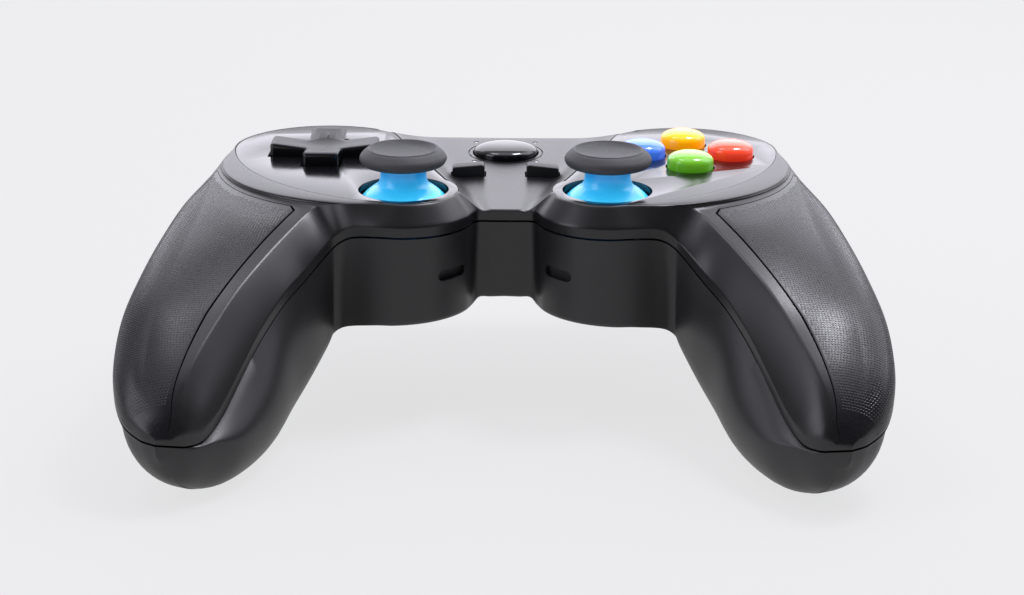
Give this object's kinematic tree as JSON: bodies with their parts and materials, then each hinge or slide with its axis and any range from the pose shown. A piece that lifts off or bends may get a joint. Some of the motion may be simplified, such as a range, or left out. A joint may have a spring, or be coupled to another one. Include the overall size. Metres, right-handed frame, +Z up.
{
  "type": "gamepad controller",
  "caption": "Two-handed gamepad with thumb sticks, cross pad, coloured face buttons, centre keys, shoulder bumpers and triggers on drooping grips.",
  "frame": {"origin": "middle of the bounding box's underside", "axes": "+X to the player's right, +Y away from the player, +Z up out of the face"},
  "size_m": [0.1568, 0.1222, 0.0586],
  "materials": {
    "shell_black": "satin black moulded plastic, fine spark texture",
    "lower_black": "matt black moulded plastic, fine spark texture",
    "plate_gloss": "piano black plastic, polished",
    "panel_grey": "dark grey plastic with a fine moulded grid",
    "screw_steel": "zinc-plated steel",
    "board_green": "green solder mask",
    "battery_wrap": "blue shrink wrap",
    "port_steel": "nickel-plated steel",
    "light_guide": "clear grey plastic",
    "cap_rubber": "dark grey rubber, matt",
    "stem_blue": "translucent sky blue plastic, polished",
    "gimbal_white": "white acetal",
    "frame_steel": "pressed steel",
    "sensor_green": "green plastic",
    "pad_black": "black plastic, satin top",
    "ball_steel": "polished steel",
    "post_grey": "grey plastic",
    "membrane_rubber": "grey silicone rubber",
    "button_blue": "translucent blue plastic, polished",
    "button_yellow": "translucent amber plastic, polished",
    "button_red": "translucent red plastic, polished",
    "button_green": "translucent green plastic, polished",
    "home_black": "piano black plastic, polished",
    "key_black": "matt black plastic",
    "shoulder_black": "black plastic, semi-gloss",
    "switch_grey": "grey plastic",
    "pin_steel": "ground steel",
    "bracket_black": "dark grey plastic",
    "motor_steel": "zinc-plated steel",
    "weight_brass": "sintered brass"
  },
  "bodies": {
    "housing": {"top_shell": "shell_black", "bottom_shell": "lower_black", "case_screws": "screw_steel", "main_board": "board_green", "battery": "battery_wrap", "charge_port": "port_steel", "status_lights": "light_guide", "cross_post": "post_grey", "cross_membrane": "membrane_rubber", "face_button_membrane": "membrane_rubber", "centre_membrane": "membrane_rubber", "left_face_plate": "plate_gloss", "left_grip_panel": "panel_grey", "left_stick_housing": "frame_steel", "left_stick_sensors": "sensor_green", "left_bumper_switch": "switch_grey", "left_trigger_pin": "pin_steel", "left_trigger_spring": "pin_steel", "left_trigger_switch": "switch_grey", "left_shoulder_bracket": "bracket_black", "left_rumble_motor": "motor_steel", "right_face_plate": "plate_gloss", "right_grip_panel": "panel_grey", "right_stick_housing": "frame_steel", "right_stick_sensors": "sensor_green", "right_bumper_switch": "switch_grey", "right_trigger_pin": "pin_steel", "right_trigger_spring": "pin_steel", "right_trigger_switch": "switch_grey", "right_shoulder_bracket": "bracket_black", "right_rumble_motor": "motor_steel"},
    "left_yoke": {"left_stick_yoke": "gimbal_white"},
    "left_gimbal": {"left_stick_gimbal": "gimbal_white"},
    "left_stick": {"left_stick_cap": "cap_rubber", "left_stick_stem": "stem_blue"},
    "right_yoke": {"right_stick_yoke": "gimbal_white"},
    "right_gimbal": {"right_stick_gimbal": "gimbal_white"},
    "right_stick": {"right_stick_cap": "cap_rubber", "right_stick_stem": "stem_blue"},
    "cross_rocker": {"cross_ball": "ball_steel"},
    "cross_pad": {"cross_pad": "pad_black"},
    "face_button_left": {"face_button_left": "button_blue"},
    "face_button_top": {"face_button_top": "button_yellow"},
    "face_button_right": {"face_button_right": "button_red"},
    "face_button_bottom": {"face_button_bottom": "button_green"},
    "home_button": {"home_button": "home_black"},
    "select_key": {"select_key": "key_black"},
    "start_key": {"start_key": "key_black"},
    "left_bumper": {"left_bumper": "shoulder_black"},
    "left_trigger": {"left_trigger": "shoulder_black"},
    "left_weight": {"left_rumble_weight": "weight_brass"},
    "right_bumper": {"right_bumper": "shoulder_black"},
    "right_trigger": {"right_trigger": "shoulder_black"},
    "right_weight": {"right_rumble_weight": "weight_brass"}
  },
  "joints": [
    {"name": "left_stick_sideways", "type": "hinge", "parent": "housing", "child": "left_yoke", "pos_m": [-0.0222, -0.0006, 0.0399], "axis": [0, 1, 0], "range_deg": [-15, 15], "stiffness_Nm_per_rad": 0.03},
    {"name": "left_stick_forward", "type": "hinge", "parent": "left_yoke", "child": "left_gimbal", "pos_m": [-0.0222, -0.0006, 0.0399], "axis": [1, 0, 0], "range_deg": [-15, 15], "stiffness_Nm_per_rad": 0.03},
    {"name": "left_stick_click", "type": "slide", "parent": "left_gimbal", "child": "left_stick", "axis": [0, 0, -1], "range_m": [0, 0.0005], "stiffness_N_per_m": 2000},
    {"name": "right_stick_sideways", "type": "hinge", "parent": "housing", "child": "right_yoke", "pos_m": [0.0222, -0.0006, 0.0399], "axis": [0, 1, 0], "range_deg": [-15, 15], "stiffness_Nm_per_rad": 0.03},
    {"name": "right_stick_forward", "type": "hinge", "parent": "right_yoke", "child": "right_gimbal", "pos_m": [0.0222, -0.0006, 0.0399], "axis": [1, 0, 0], "range_deg": [-15, 15], "stiffness_Nm_per_rad": 0.03},
    {"name": "right_stick_click", "type": "slide", "parent": "right_gimbal", "child": "right_stick", "axis": [0, 0, -1], "range_m": [0, 0.0005], "stiffness_N_per_m": 2000},
    {"name": "cross_forward", "type": "hinge", "parent": "housing", "child": "cross_rocker", "pos_m": [-0.042, 0.0304, 0.0474], "axis": [1, 0, 0], "range_deg": [-6, 6], "stiffness_Nm_per_rad": 0.1},
    {"name": "cross_sideways", "type": "hinge", "parent": "cross_rocker", "child": "cross_pad", "pos_m": [-0.042, 0.0304, 0.0474], "axis": [0, 1, 0], "range_deg": [-6, 6], "stiffness_Nm_per_rad": 0.1},
    {"name": "face_button_left_press", "type": "slide", "parent": "housing", "child": "face_button_left", "axis": [0, 0, -1], "range_m": [0, 0.0012], "stiffness_N_per_m": 600},
    {"name": "face_button_top_press", "type": "slide", "parent": "housing", "child": "face_button_top", "axis": [0, 0, -1], "range_m": [0, 0.0012], "stiffness_N_per_m": 600},
    {"name": "face_button_right_press", "type": "slide", "parent": "housing", "child": "face_button_right", "axis": [0, 0, -1], "range_m": [0, 0.0012], "stiffness_N_per_m": 600},
    {"name": "face_button_bottom_press", "type": "slide", "parent": "housing", "child": "face_button_bottom", "axis": [0, 0, -1], "range_m": [0, 0.0012], "stiffness_N_per_m": 600},
    {"name": "home_button_press", "type": "slide", "parent": "housing", "child": "home_button", "axis": [0, 0, -1], "range_m": [0, 0.0008], "stiffness_N_per_m": 600},
    {"name": "select_key_press", "type": "slide", "parent": "housing", "child": "select_key", "axis": [0, 0, -1], "range_m": [0, 0.0008], "stiffness_N_per_m": 600},
    {"name": "start_key_press", "type": "slide", "parent": "housing", "child": "start_key", "axis": [0, 0, -1], "range_m": [0, 0.0008], "stiffness_N_per_m": 600},
    {"name": "left_bumper_press", "type": "hinge", "parent": "housing", "child": "left_bumper", "pos_m": [-0.02865, 0.05313, 0.04285], "axis": [0, 0, 1], "range_deg": [0, 2.2], "stiffness_Nm_per_rad": 0.8},
    {"name": "left_trigger_pull", "type": "hinge", "parent": "housing", "child": "left_trigger", "pos_m": [-0.043, 0.0508, 0.0365], "axis": [-1, 0, 0], "range_deg": [0, 16], "stiffness_Nm_per_rad": 0.06},
    {"name": "left_weight_spin", "type": "hinge", "parent": "housing", "child": "left_weight", "pos_m": [-0.0585, -0.0161, 0.0229], "axis": [1, 0, 0], "continuous": true},
    {"name": "right_bumper_press", "type": "hinge", "parent": "housing", "child": "right_bumper", "pos_m": [0.02865, 0.05313, 0.04285], "axis": [0, 0, -1], "range_deg": [0, 2.2], "stiffness_Nm_per_rad": 0.8},
    {"name": "right_trigger_pull", "type": "hinge", "parent": "housing", "child": "right_trigger", "pos_m": [0.043, 0.0508, 0.0365], "axis": [-1, 0, 0], "range_deg": [0, 16], "stiffness_Nm_per_rad": 0.06},
    {"name": "right_weight_spin", "type": "hinge", "parent": "housing", "child": "right_weight", "pos_m": [0.0585, -0.0161, 0.0229], "axis": [1, 0, 0], "continuous": true}
  ]
}
